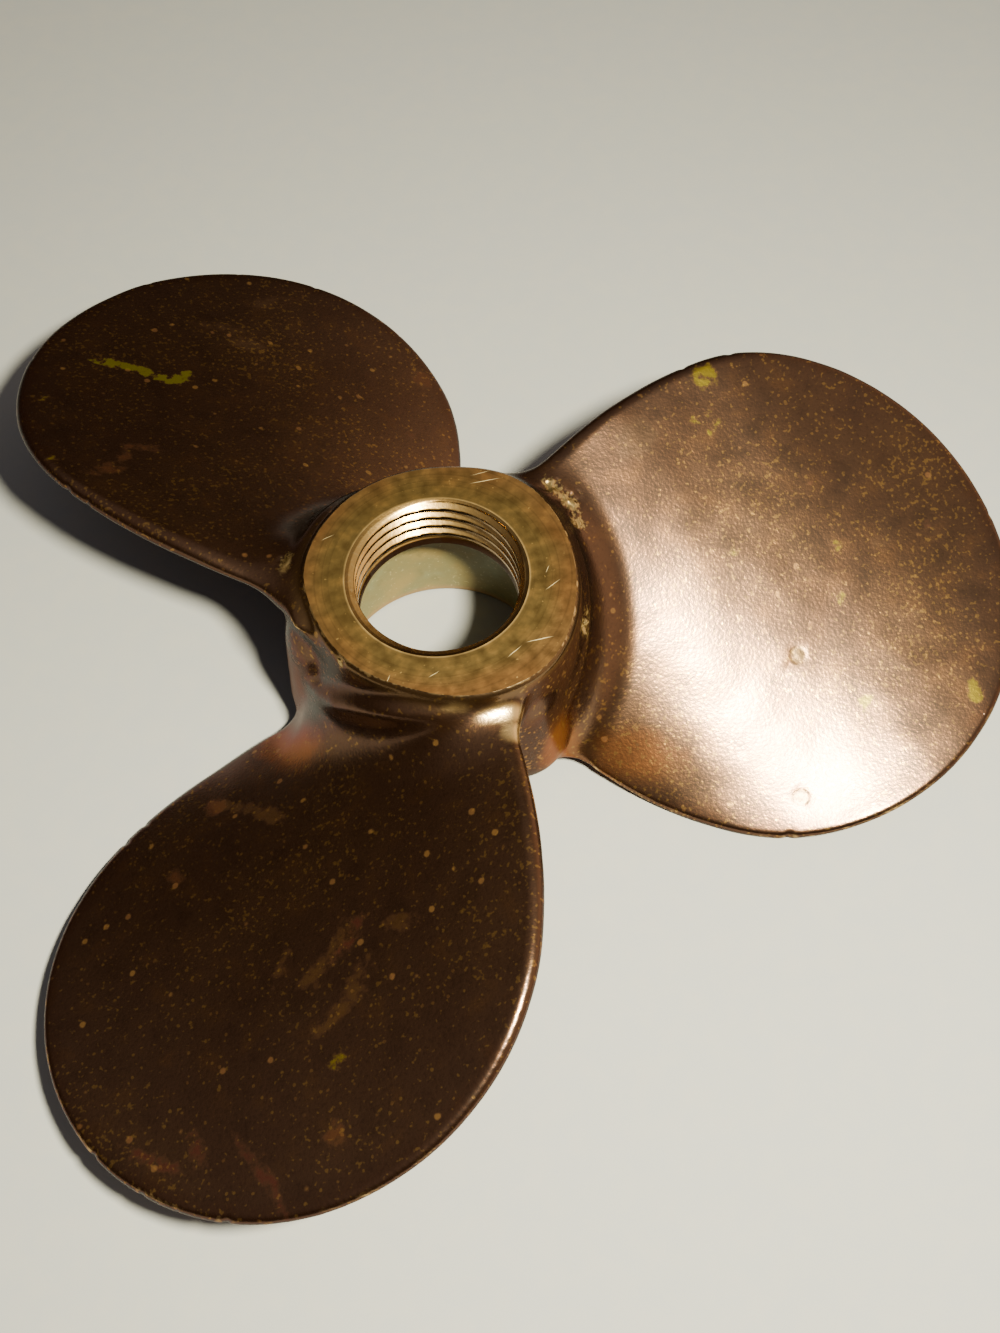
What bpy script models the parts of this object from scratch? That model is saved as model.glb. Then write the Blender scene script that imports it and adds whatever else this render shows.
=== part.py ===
"""A small three-blade ship propeller, cast in bronze in one piece and machined at its hub.

Metres, +Z up. The origin is on the shaft's axis at the hub's rear face, and the first blade points
along +X. Seen from above, each blade climbs anticlockwise from its leading to its trailing edge.
"""

import math

import bmesh
import bpy
from mathutils import Matrix, Vector

# Hub: a tapered boss with three shallow flats on its rim, one between each two blades
HUB_LENGTH = 0.03175
HUB_TOP_RADIUS = 0.0196
HUB_BASE_RADIUS = 0.0221
HUB_EDGE_ROUND = 0.0010
FLAT_DEPTH = 0.0008
FLAT_DIRECTION = math.radians(72)

# Bore: a thread of 1 inch by 12 to the inch from the top, a short plain land and a wider recess. The
# thread's groove runs out of the mouth in THREAD_DIRECTION, and fades over THREAD_FADE turns at its end
THREAD_MAJOR_RADIUS = 0.0127
THREAD_PITCH = 0.0254 / 12
THREAD_DEPTH = 0.0009
THREAD_TURNS = 4
THREAD_DIRECTION = math.radians(97)
THREAD_FADE = 0.5
BORE_LAND = 0.0015
MOUTH_CHAMFER = 0.0004
RECESS_RADIUS = 0.0170

# Blades: seen along the shaft, each is a disc with two flanks that run in to a narrower neck at the hub
BLADE_COUNT = 3
DISC_RADIUS = 0.0348
DISC_REACH = 0.0539
DISC_OFFSET = -0.0015
LEADING_FLANK = math.radians(22)
TRAILING_FLANK = math.radians(15)
LEADING_NECK = 0.0055
TRAILING_NECK = 0.0055

# Twist: how far a blade would climb in one turn, at its root and further out
BLADE_HEIGHT = 0.0144
ROOT_PITCH = 0.103
OUTER_PITCH = 0.158
FULL_PITCH_RADIUS = 0.061
CUP = 0.0020

# Thickness of the blades in the middle and at their round edges
ROOT_THICKNESS = 0.0070
TIP_THICKNESS = 0.0024
LEADING_EDGE = 0.0017
TRAILING_EDGE = 0.0032
TIP_EDGE = 0.0016

# Fillets where the blades leave the hub. Their feet lie FILLET_SINK inside it, so that they meet its
# surface at a clear angle, and at a blade's edges the face fillet fades by EDGE_FADE
FACE_FILLET = 0.0090
EDGE_FILLET = 0.0075
FILLET_SINK = 0.0005
EDGE_FADE = 0.6
ROOT_STEP = 0.0004
ROOT_BLEND = 0.0180
SQUEEZE = 5

# Webs: on the hub's side, from a blade's trailing root down to the next blade's leading root. Each is a
# round swelling that stands WEB_STAND proud of the hub and dives into it at its ends
WEB_RADIUS = 0.0080
WEB_STAND = 0.0027
WEB_DIVE = 0.0037
WEB_TOP_SHARE = 0.30
WEB_FOOT_SHARE = 0.12

# Fineness of the mesh
RIM_ANGLES = (90, 60, 30, 0)
HUB_STEPS = 72
HUB_LEVELS = 12
BORE_STEPS = 48
RINGS_PER_THREAD_TURN = 8
STATIONS = 26
CHORD_STEPS = 14
ROOT_STATION = 0.0120
CUT_CLEARANCE = 0.002


def clear_scene():
    for obj in list(bpy.data.objects):
        bpy.data.objects.remove(obj, do_unlink=True)


def bronze():
    """Aged cast bronze: dark brown, half metallic under its patina."""
    material = bpy.data.materials.new("aged_bronze")
    material.use_nodes = True
    shader = material.node_tree.nodes["Principled BSDF"]
    shader.inputs["Base Color"].default_value = (0.16, 0.09, 0.05, 1.0)
    shader.inputs["Metallic"].default_value = 1.0
    shader.inputs["Roughness"].default_value = 0.42
    return material


def skinned(name, rings, tip=None):
    """A closed mesh object stretched over rings of points, with a flat cap or one tip point at the end."""
    mesh = bmesh.new()
    loops = [[mesh.verts.new(point) for point in ring] for ring in rings]
    for lower, upper in zip(loops, loops[1:]):
        for i, corner in enumerate(lower):
            before = i - 1
            mesh.faces.new((lower[before], corner, upper[i], upper[before]))
    mesh.faces.new(loops[0])
    last = loops[-1]
    if tip is None:
        mesh.faces.new(last)
    else:
        end = mesh.verts.new(tip)
        for i, corner in enumerate(last):
            mesh.faces.new((last[i - 1], corner, end))
    bmesh.ops.recalc_face_normals(mesh, faces=mesh.faces)
    data = bpy.data.meshes.new(name)
    mesh.to_mesh(data)
    mesh.free()
    obj = bpy.data.objects.new(name, data)
    bpy.context.scene.collection.objects.link(obj)
    return obj


def ring(radius_at, height, steps):
    """Points round the shaft at one height, at the radius that radius_at gives for each direction."""
    points = []
    for i in range(steps):
        direction = math.tau * i / steps
        radius = radius_at(direction)
        points.append(Vector((radius * math.cos(direction), radius * math.sin(direction), height)))
    return points


def share(value, start, end):
    """How far value lies from start to end, held between 0 and 1."""
    return min(max((value - start) / (end - start), 0.0), 1.0)


def fillet(distance, radius):
    """How high a round fillet of this radius stands at a distance from the wall it runs up."""
    rest = radius - min(max(distance, 0.0), radius)
    return radius - math.sqrt(radius**2 - rest**2)


def cone_radius(height):
    return HUB_BASE_RADIUS + (HUB_TOP_RADIUS - HUB_BASE_RADIUS) * height / HUB_LENGTH


def hub_radius(direction, height, inset):
    """The hub's outside, where the flats follow the taper. inset is taken off for a rounded edge."""
    cone = cone_radius(height)
    spacing = math.tau / BLADE_COUNT
    off_flat = (direction - FLAT_DIRECTION + spacing / 2) % spacing - spacing / 2
    return min(cone, (cone - FLAT_DEPTH) / math.cos(off_flat)) - inset


def edge_root(side):
    """Direction from the shaft, and height, of the place where a bare edge meets the hub."""
    inner, outer = ROOT_STATION, DISC_REACH
    while outer - inner > WEB_STAND / 100:
        reach = (inner + outer) / 2
        if clear_of_hub(reach, bare_edge(reach, side)) > 0:
            outer = reach
        else:
            inner = reach
    offset = bare_edge(inner, side)
    return math.atan2(offset, inner), face_height(inner, offset)


def web_line():
    """Direction and height of a web's foot and top: beside a leading root and below a trailing root."""
    top_direction, top_height = edge_root(1)
    foot_direction, foot_height = edge_root(-1)
    foot_direction += math.tau / BLADE_COUNT - EDGE_FILLET / 2 / HUB_BASE_RADIUS
    return foot_direction, foot_height, top_direction + EDGE_FILLET / 2 / HUB_TOP_RADIUS, top_height


def web_reach(line, direction, height):
    """How far from the shaft a web stands in this direction, or 0 where there is none."""
    foot_direction, foot_height, top_direction, top_height = line
    rise = (height - foot_height) / (top_height - foot_height)
    if not 0 < rise < 1:
        return 0.0
    spacing = math.tau / BLADE_COUNT
    middle_direction = foot_direction + (top_direction - foot_direction) * rise
    beside = (direction - middle_direction + spacing / 2) % spacing - spacing / 2
    dive = share(rise, 1 - WEB_TOP_SHARE, 1) ** 2 + share(rise, WEB_FOOT_SHARE, 0) ** 2
    axis = cone_radius(height) + WEB_STAND - WEB_DIVE * dive - WEB_RADIUS
    across = WEB_RADIUS**2 - (axis * math.sin(beside)) ** 2
    return axis * math.cos(beside) + math.sqrt(across) if across > 0 else 0.0


def hub_blank():
    """The solid boss before it is bored, with its webs and with both rims rounded."""
    line = web_line()
    quarter = [math.radians(angle) for angle in RIM_ANGLES]
    rim = [(HUB_EDGE_ROUND * (1 - math.sin(a)), HUB_EDGE_ROUND * (1 - math.cos(a))) for a in quarter]
    side = [(HUB_LENGTH * i / HUB_LEVELS, 0.0) for i in range(1, HUB_LEVELS)]
    profile = rim + side + [(HUB_LENGTH - low, inset) for low, inset in reversed(rim)]
    rings = []
    for height, inset in profile:
        outline = lambda a, h=height, i=inset: max(hub_radius(a, h, i), web_reach(line, a, h))
        rings.append(ring(outline, height, HUB_STEPS))
    return skinned("hub_blank", rings)


def thread_radius(direction, turns_down):
    """Wall of the bore, turns_down below its mouth: a V-thread with a flat crest, opening at its mouth."""
    phase = (-turns_down - (direction - THREAD_DIRECTION) / math.tau) % 1.0
    ramp = abs(2 * phase - 1)
    groove = share(ramp, 0.25, 0.875) * share(THREAD_TURNS - turns_down, 0, THREAD_FADE)
    crest = THREAD_MAJOR_RADIUS - THREAD_DEPTH
    mouth = THREAD_MAJOR_RADIUS + MOUTH_CHAMFER - turns_down * THREAD_PITCH
    return max(crest + THREAD_DEPTH * groove, mouth)


def bore_cutter():
    """All that is machined out of the hub: the recess and the land from below, and the thread from above."""
    crest = THREAD_MAJOR_RADIUS - THREAD_DEPTH
    land_start = HUB_LENGTH - THREAD_TURNS * THREAD_PITCH - BORE_LAND
    rings = [ring(lambda a: RECESS_RADIUS, -CUT_CLEARANCE, BORE_STEPS)]
    rings.append(ring(lambda a: RECESS_RADIUS, land_start, BORE_STEPS))
    rings.append(ring(lambda a: crest, land_start, BORE_STEPS))
    for i in range(THREAD_TURNS * RINGS_PER_THREAD_TURN, -1, -1):
        turns_down = i / RINGS_PER_THREAD_TURN
        height = HUB_LENGTH - turns_down * THREAD_PITCH
        rings.append(ring(lambda a, t=turns_down: thread_radius(a, t), height, BORE_STEPS))
    mouth = THREAD_MAJOR_RADIUS + MOUTH_CHAMFER
    rings.append(ring(lambda a: mouth, HUB_LENGTH + CUT_CLEARANCE, BORE_STEPS))
    return skinned("bore_cutter", rings)


def half_width(reach, flank, neck):
    """From the disc's centre line to its edge: the disc itself or, nearer the hub, a flank that bends in."""
    touch = DISC_REACH - DISC_RADIUS * math.sin(flank)
    if reach > touch:
        return math.sqrt(max(DISC_RADIUS**2 - (reach - DISC_REACH) ** 2, 0.0))
    bend = ((touch - reach) / (touch - HUB_TOP_RADIUS)) ** 2
    return DISC_RADIUS * math.cos(flank) - (touch - reach) * math.tan(flank) - neck * bend


def bare_edge(reach, side):
    """Offset of the leading (side -1) or trailing (side +1) edge before it is filleted."""
    flank, neck = (TRAILING_FLANK, TRAILING_NECK) if side > 0 else (LEADING_FLANK, LEADING_NECK)
    return DISC_OFFSET + side * half_width(reach, flank, neck)


def edge_point(reach, side):
    """Reach and offset of an edge, with its fillet round the hub."""
    offset = bare_edge(reach, side)
    radius = math.hypot(reach, offset)
    along_hub = fillet(clear_of_hub(reach, offset), EDGE_FILLET)
    turn = math.atan2(offset, reach) + side * along_hub / radius
    return Vector((radius * math.cos(turn), radius * math.sin(turn)))


def face_height(reach, offset):
    """Height of the blade's middle surface: a helicoid whose pitch grows outwards, slightly cupped."""
    radius = math.hypot(reach, offset)
    turn = math.atan2(offset, reach) / math.tau
    pitch = ROOT_PITCH + (OUTER_PITCH - ROOT_PITCH) * share(radius, HUB_BASE_RADIUS, FULL_PITCH_RADIUS)
    return BLADE_HEIGHT + pitch * turn + CUP * (offset / DISC_RADIUS) ** 2


def clear_of_hub(reach, offset):
    """How far outside the fillets' feet the blade's middle surface is, seen along the shaft."""
    direction = math.atan2(offset, reach)
    return math.hypot(reach, offset) - hub_radius(direction, face_height(reach, offset), 0.0) + FILLET_SINK


def middle(reach, offset):
    return Vector((reach, offset, face_height(reach, offset)))


def face_normal(reach, offset):
    step = 0.0005
    along = middle(reach + step, offset) - middle(reach - step, offset)
    across = middle(reach, offset + step) - middle(reach, offset - step)
    return along.cross(across).normalized()


def half_thickness(reach, offset, across, width):
    """Half the blade's thickness. across runs from -1 at the leading to +1 at the trailing edge."""
    outward = share(reach, HUB_TOP_RADIUS, DISC_REACH + DISC_RADIUS)
    core = ROOT_THICKNESS + (TIP_THICKNESS - ROOT_THICKNESS) * outward
    root_edge = TRAILING_EDGE if across > 0 else LEADING_EDGE
    edge = root_edge + (TIP_EDGE - root_edge) * outward
    full = edge + (core - edge) * (1 - across**2)
    from_disc = DISC_RADIUS - math.hypot(reach - DISC_REACH, offset - DISC_OFFSET)
    from_side = (1 - abs(across)) * width / 2
    inside = max(from_side if reach < DISC_REACH else from_disc, 0.0)
    flare = fillet(clear_of_hub(reach, offset), FACE_FILLET) * (1 - EDGE_FADE * across**4)
    rounding = math.sqrt(1 - (1 - share(inside, 0.0, edge / 2 + flare)) ** 2)
    return rounding * (full / 2 + flare)


def between_hub_faces(point):
    """The point, squeezed smoothly to inside the hub's end faces where the blade's root runs into the hub."""
    middle_height, reach = HUB_LENGTH / 2, HUB_LENGTH / 2 - ROOT_STEP
    level = (point.z - middle_height) / reach
    squeezed = middle_height + reach * level / (1 + abs(level) ** SQUEEZE) ** (1 / SQUEEZE)
    outward = share(math.hypot(point.x, point.y), HUB_BASE_RADIUS, HUB_BASE_RADIUS + ROOT_BLEND)
    eased = outward**2 * (3 - 2 * outward)
    return Vector((point.x, point.y, squeezed + (point.z - squeezed) * eased))


def blade_section(reach):
    """One closed loop round the blade: over its upper face to the trailing edge, and back below."""
    leading, trailing = edge_point(reach, -1), edge_point(reach, 1)
    width = (trailing - leading).length
    upper, lower = [], []
    for i in range(CHORD_STEPS + 1):
        across = -math.cos(math.pi * i / CHORD_STEPS)
        out, offset = leading.lerp(trailing, (1 + across) / 2)
        centre = middle(out, offset)
        stand_off = face_normal(out, offset) * half_thickness(out, offset, across, width)
        upper.append(between_hub_faces(centre + stand_off))
        if 0 < i < CHORD_STEPS:
            lower.append(between_hub_faces(centre - stand_off))
    return upper + lower[::-1]


def blade(index):
    """A blade from inside the hub to its tip, with sections closer together at its root and tip."""
    tip_reach = DISC_REACH + DISC_RADIUS
    rings = []
    for i in range(STATIONS):
        outward = (1 - math.cos(math.pi * i / STATIONS)) / 2
        rings.append(blade_section(ROOT_STATION + (tip_reach - ROOT_STATION) * outward))
    obj = skinned(f"blade_{index + 1}", rings, middle(tip_reach, DISC_OFFSET))
    obj.data.transform(Matrix.Rotation(math.tau * index / BLADE_COUNT, 4, "Z"))
    return obj


def add_boolean(target, other, operation):
    modifier = target.modifiers.new(f"{operation.lower()}_{other.name}", "BOOLEAN")
    modifier.operation = operation
    modifier.object = other
    other.hide_render = True
    other.display_type = "WIRE"


def shade(obj):
    obj.data.shade_smooth()
    obj.data.set_sharp_from_angle(angle=math.radians(35))


def propeller_casting():
    """Hub and blades cast as one, then bored."""
    casting = hub_blank()
    casting.name = "propeller_casting"
    casting.data.materials.append(bronze())
    for index in range(BLADE_COUNT):
        add_boolean(casting, blade(index), "UNION")
    add_boolean(casting, bore_cutter(), "DIFFERENCE")
    for obj in bpy.data.objects:
        shade(obj)


clear_scene()
propeller_casting()
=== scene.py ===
"""A small three-blade ship propeller in aged bronze: cast in one piece, then faced and bored at its hub.

Lengths are in metres, +Z runs along the shaft towards the threaded face, and the first blade points along +X.
"""

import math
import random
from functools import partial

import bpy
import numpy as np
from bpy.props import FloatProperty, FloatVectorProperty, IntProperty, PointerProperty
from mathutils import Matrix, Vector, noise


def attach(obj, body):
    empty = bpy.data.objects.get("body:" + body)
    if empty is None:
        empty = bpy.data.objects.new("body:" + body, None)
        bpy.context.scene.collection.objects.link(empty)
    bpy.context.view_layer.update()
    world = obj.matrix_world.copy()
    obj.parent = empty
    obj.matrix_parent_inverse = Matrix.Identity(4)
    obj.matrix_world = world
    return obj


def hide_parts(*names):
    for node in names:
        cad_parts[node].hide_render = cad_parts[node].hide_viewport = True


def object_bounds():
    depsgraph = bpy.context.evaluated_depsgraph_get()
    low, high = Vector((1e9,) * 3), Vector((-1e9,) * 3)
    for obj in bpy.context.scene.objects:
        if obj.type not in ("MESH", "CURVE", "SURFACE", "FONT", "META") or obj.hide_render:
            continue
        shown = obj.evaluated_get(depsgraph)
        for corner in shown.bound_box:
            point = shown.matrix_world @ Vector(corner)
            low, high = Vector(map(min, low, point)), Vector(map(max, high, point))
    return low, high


bl_info = {
    "name": "Small ship propeller",
    "version": (1, 0, 0),
    "blender": (4, 5, 0),
    "location": "View3D > Sidebar > Propeller",
    "description": "Casts, machines and ages a small bronze propeller, and sets it on a pale floor",
    "category": "Object",
}

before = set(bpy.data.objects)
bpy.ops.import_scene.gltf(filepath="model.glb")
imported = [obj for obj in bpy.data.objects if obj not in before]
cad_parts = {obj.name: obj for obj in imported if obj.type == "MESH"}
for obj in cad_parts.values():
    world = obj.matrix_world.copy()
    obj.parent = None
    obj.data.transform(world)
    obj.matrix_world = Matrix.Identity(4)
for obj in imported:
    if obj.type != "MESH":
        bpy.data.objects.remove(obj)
CAD_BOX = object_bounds()
MM = 0.001

# Fineness of the cast surface: the pattern is built from rings, then cast as one skin of small cells
BLADE_STATIONS = 150
CHORD_STEPS = 90
HUB_STEPS = 240
HUB_LEVELS = 40
RIM_STEPS = 8
WEB_RINGS = 40
WEB_STEPS = 40
EDGE_SEARCH_STEPS = 2000
CELL = 0.32 * MM
MOST_TRIANGLES = 150000

# Fineness of the machined bore, and how far its cutter stands out of the hub
BORE_STEPS = 180
RINGS_PER_THREAD_TURN = 24
CUT_CLEARANCE = 2 * MM

# What is faced off each end of the hub, how far out from the shaft, and the bend from which edges are sharp
FACING_ALLOWANCE = 0.35 * MM
FACING_RADIUS = 25 * MM
SHARP_ANGLE = math.radians(38)

# The thread, as in the part: where its groove runs out of the mouth, over how many turns it fades, where its
# flank starts and ends in half a turn, and how much faster the mouth widens than it rises
THREAD_DIRECTION = math.radians(97)
THREAD_FADE = 0.5
THREAD_FLANK = (0.25, 0.875)
MOUTH_STEEPNESS = 2.5

# The twist of the blades, as in the part: climb in one turn at the root and from a radius on, and how gently
# the one passes into the other
BLADE_COUNT = 3
ROOT_PITCH = 103 * MM
OUTER_PITCH = 158 * MM
FULL_PITCH_RADIUS = 61 * MM
PITCH_BEND = 0.15

# The blades' roots: where they start inside the hub, how far their fillets sink into it and fade towards the
# edges, and how they are squeezed between the hub's faces
ROOT_STATION = 12 * MM
FILLET_SINK = 0.5 * MM
EDGE_FADE = 0.6
ROOT_STEP = 0.4 * MM
ROOT_BLEND = 18 * MM
SQUEEZE = 5

# The flats on the hub's side, and the webs: how deep their ends dive into it, and over which share of them
FLAT_DIRECTION = math.radians(72)
WEB_DIVE = 3.7 * MM
WEB_TOP_SHARE = 0.30
WEB_FOOT_SHARE = 0.12

# The faced rim is not quite round: direction in degrees, and how far it lies outside the round rim in
# millimetres. The softness is how far to both sides it is averaged, in degrees
RIM_OUTLINE = (
    (-170, -0.8), (-150, -0.8), (-112, -0.9), (-95, 0.1), (-79, 1.2), (-55, 2.3), (-40, 1.9), (-25, 1.1),
    (0, 0.6), (24, 0.9), (43, 1.3), (57, 0.7), (74, -0.3), (92, -0.5), (121, -0.4), (141, -0.3), (160, 0.0),
    (172, 0.0),
)
RIM_SOFTNESS = 9
RIM_SAMPLES = 9

# Hand dressing: how far a point is drawn to the mean of its neighbours at the roots and everywhere, and how
# often. The waviness that is left is a height, the distance between its lumps and a seed for each grain
ROOT_PULL, ROOT_ROUNDS = 0.5, 60
SKIN_PULL, SKIN_ROUNDS = 0.3, 2
WAVINESS = ((0.10 * MM, 17 * MM, 3.1), (0.035 * MM, 5 * MM, 7.7))

# How far the leading and trailing edge of each blade were fettled at the root, in millimetres outwards
ROOT_FETTLING = ((0.0, 0.0), (-2.8, 1.5), (1.0, 0.0))
FETTLED_TO = 46 * MM

# Rough chips that were never fettled off the roots: x, y, z and radius in millimetres. Their grains are as in
# the waviness, their height and how far they sink are in millimetres
ROOT_CHIPS = (
    (19.2, 14.6, 29.4, 2.2), (21.6, 12.2, 27.6, 2.6), (22.0, 9.0, 26.4, 1.6), (-21.0, 7.0, 28.6, 2.3),
    (19.9, -7.2, 23.5, 2.0), (21.2, -5.6, 24.5, 1.6), (-15.4, -11.4, 31.2, 1.1),
)
CHIP_GRAINS = ((1.0, 1.1 * MM, 5.3), (0.6, 0.6 * MM, 9.1))
CHIP_HEIGHT = 0.42
CHIP_SINK = 0.12

# Round sand pits in the first blade's face: x, y, z and radius in millimetres
SAND_PITS = ((53.1, -11.1, 12.2, 1.5), (49.9, -30.7, 3.8, 1.4))
PIT_DEPTH = 0.05 * MM

# Knocks along the blades' rims: how far to both sides of the tip they lie, in radians, their radius in
# millimetres, and their depth as a share of it
KNOCKS = 21
KNOCK_SEED = 12
KNOCK_SPREAD = 2.0
KNOCK_SIZES = (0.5, 1.3)
KNOCK_DEPTH = 0.16

# Where the casting is worn, and where shade is painted on it, each from the value where it starts to the one
# where it is full: distance in from the blades' rims and out from the shaft, sharpness of ridges and hollows
# in
# 1/m, how far a face looks up, which sets the painted shade on sides and underside, and the shoulder's
# distance below the faced top and outside its rim
RIM_BAND = (4.0 * MM, 0.5 * MM)
RIM_START = (23 * MM, 30 * MM)
RIDGE_BEND = (110.0, 420.0)
HOLLOW_BEND = (25.0, 120.0)
LOOKING_UP = (0.0, 0.3)
SHOULDER_DROP = (2.6 * MM, 0.6 * MM)
SHOULDER_WIDTH = (2.2 * MM, 1.0 * MM)

# Marks in the patina. Each is x, y and z, half its length and half its width in millimetres, and its heading
# in degrees. Stains are a name, a colour, an opacity, the softness of their outline in millimetres, and their
# places on the upper side of the blades. The depths say how far a mark reaches through the surface, and the
# fray how far a stain's outline wanders, in millimetres
STAIN_DEPTH = 12.0
WARM_REFLECTION_DEPTH = 9.0
CHIP_DEPTH = 3.0
SCRATCH_DEPTH = 4.0
NO_MARK_NEAR = 9.0
FRAY = 2.6
STAINS = (
    ("yellow_stains", "#5a4f04", 0.85, 0.8, (
        (45.6, 29.2, 30.9, 2.1, 1.6, 20), (45.6, 22.2, 27.7, 1.7, 1.0, 80), (42.7, 23.3, 28.7, 0.6, 0.6, 0),
        (45.6, 4.3, 19.4, 0.8, 0.7, 0), (61.9, 3.8, 18.2, 0.8, 0.7, 0), (60.7, -4.0, 15.1, 0.9, 0.7, 10),
        (61.9, -19.3, 9.2, 1.1, 0.8, 60), (78.5, -20.5, 9.7, 1.0, 1.7, 0),
        (-22.0, -63.0, 21.3, 1.0, 0.8, 0), (-55.9, 46.0, 25.9, 0.8, 0.5, 20),
        (-54.0, 30.3, 30.9, 0.6, 0.5, 0), (-52.2, 29.8, 30.5, 0.6, 0.5, 0),
    )),
    ("moss_stains", "#58540c", 0.9, 0.5, (
        (-46.6, 55.9, 20.7, 2.7, 1.0, -15), (-43.4, 55.0, 20.1, 2.9, 0.95, -15),
        (-40.9, 53.7, 19.7, 2.5, 0.95, -35), (-38.2, 52.4, 19.4, 2.7, 0.95, -15),
        (-36.0, 52.6, 18.6, 2.0, 1.1, 45), (-34.9, 53.9, 17.9, 1.2, 0.9, 60),
    )),
    ("olive_smears", "#42300f", 0.45, 1.0, (
        (-11.5, -46.9, 23.6, 2.3, 1.2, -15), (-20.9, -47.2, 19.6, 3.4, 0.6, 60),
        (-23.8, -50.2, 18.8, 3.0, 0.8, 35), (-21.0, -56.2, 21.0, 4.6, 0.9, 35),
        (-28.6, -48.0, 16.5, 2.2, 0.6, 60), (-18.0, -52.0, 21.5, 2.4, 0.7, 50),
    )),
    ("tan_chips", "#4a3519", 0.45, 0.7, (
        (-28.9, -23.4, 10.4, 2.6, 1.3, -35), (-32.7, -20.6, 7.6, 3.6, 0.8, -30),
        (-36.2, -18.6, 5.0, 2.0, 1.2, -20),
    )),
    ("orange_stains", "#4a2816", 0.5, 1.0, (
        (-37.4, -18.4, 4.4, 1.6, 1.7, 50), (-43.7, -29.2, 6.7, 1.3, 1.1, 0),
        (-23.3, -71.9, 21.6, 1.2, 1.5, 0), (-46.3, 27.9, 29.4, 2.4, 1.1, 15),
        (-43.6, 31.0, 27.6, 1.3, 0.9, 30), (-42.9, 34.3, 26.2, 1.0, 0.7, 0),
        (-39.4, 33.8, 25.2, 1.9, 0.8, -5), (4.4, 58.6, 2.6, 1.6, 2.0, 0), (0.6, 44.5, 7.0, 0.8, 0.7, 0),
    )),
    ("crimson_stains", "#3e1014", 0.55, 1.0, (
        (-17.9, -45.6, 20.6, 1.9, 0.6, 65), (-20.1, -48.4, 19.6, 1.7, 0.5, 30),
        (-41.4, -69.4, 15.6, 1.9, 0.9, -70), (-33.9, -73.4, 18.2, 3.6, 0.5, -60),
        (-31.6, -77.0, 19.4, 2.6, 0.5, -75), (-47.0, -70.0, 14.0, 3.5, 0.8, -30),
    )),
    ("grey_smudges", "#433c31", 0.35, 2.4, (
        (-20.4, 74.3, 10.0, 2.4, 0.9, 15), (-24.5, 62.9, 12.7, 2.8, 1.3, -20),
        (-29.0, 67.0, 14.0, 2.6, 0.5, -10), (72.1, -7.8, 13.6, 1.1, 0.8, 0), (68.7, 3.4, 17.6, 1.3, 1.1, 0),
        (33.5, 21.0, 27.0, 4.0, 3.0, 30),
    )),
    ("pink_stains", "#5a302c", 0.4, 0.8, ((76.6, 5.1, 17.7, 1.3, 0.7, -15), (59.5, 12.5, 21.0, 0.8, 0.5, 0))),
    ("pit_shadows", "#3e3408", 0.5, 1.4, ((53.1, -11.1, 12.2, 1.4, 1.3, 0), (49.9, -30.7, 3.8, 1.3, 1.2, 0))),
)

# Places on the hub's side and at the blades' roots where a warm reflection is painted as a russet patch
WARM_REFLECTION_PATCHES = (
    (-23.2, -4.0, 12.0, 5.0, 3.6, 90), (-24.5, -11.5, 5.5, 8.0, 4.5, -55),
    (15.0, -18.5, 8.0, 7.0, 4.0, -50), (26.0, -20.0, 3.0, 7.0, 3.5, -25),
)

# Rough chips at the roots, and places that have been rubbed to bright metal
CHIP_MARKS = (
    (19.4, 14.4, 29.2, 2.6, 1.5, -50), (21.6, 12.0, 27.8, 2.9, 1.5, -50), (22.2, 9.0, 26.6, 1.6, 1.3, 0),
    (-21.0, 7.0, 28.8, 2.5, 1.2, 75), (20.0, -7.2, 23.5, 1.7, 1.6, 0), (21.2, -5.6, 24.5, 1.5, 1.2, 0),
    (-15.3, -11.3, 31.3, 1.3, 0.6, 60), (-17.4, -9.4, 30.5, 0.8, 0.5, 40),
)
RUBBED_MARKS = (
    (5.8, -21.8, 28.9, 4.4, 1.6, 5), (-1.1, -20.4, 29.8, 2.7, 0.7, -5), (7.0, -24.6, 27.0, 3.0, 2.2, 0),
    (-21.4, 6.0, 29.4, 1.2, 0.8, 70),
)
FACE_SCRATCHES = (
    (9.2, 14.9, 31.7, 2.6, 0.07, 3), (8.8, 16.4, 31.7, 1.8, 0.04, 8), (15.9, -4.2, 31.7, 1.6, 0.06, 32),
    (15.6, -1.6, 31.7, 0.8, 0.05, 60), (12.6, -12.6, 31.7, 2.3, 0.08, 4), (8.8, -13.9, 31.7, 1.6, 0.05, 35),
    (-2.6, -15.6, 31.7, 1.0, 0.05, 25), (-14.6, 8.8, 31.7, 1.2, 0.04, 20),
    (-8.9, -15.4, 31.7, 0.9, 0.04, 62),
)

# The finishes of the casting's faces, by the way that each was made
CAST, FACED, THREADED, RECESSED = range(4)

# The stage: the floor's half width, the point that the key light is aimed at, and what the camera takes in
FLOOR_HALF_WIDTH = 1.5
KEY_AIM = (0.01, 0.0, 0.0)
CLIP = (0.01, 10.0)


def linear(hex_colour):
    """An sRGB hex colour as linear RGBA."""
    channels = [int(hex_colour[i : i + 2], 16) / 255 for i in (1, 3, 5)]
    return tuple(c / 12.92 if c <= 0.04045 else ((c + 0.055) / 1.055) ** 2.4 for c in channels) + (1.0,)


def length(name, description, default):
    return FloatProperty(
        name=name, description=description, default=default, min=0.0, precision=5, unit="LENGTH"
    )


def angle(name, description, degrees):
    return FloatProperty(name=name, description=description, default=math.radians(degrees), subtype="ANGLE")


def spot(name, description, default):
    return FloatVectorProperty(name=name, description=description, default=default, subtype="XYZ")


def colour(name, description, default):
    return FloatVectorProperty(
        name=name, description=description, default=linear(default), size=4, min=0.0, max=1.0, subtype="COLOR"
    )


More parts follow.
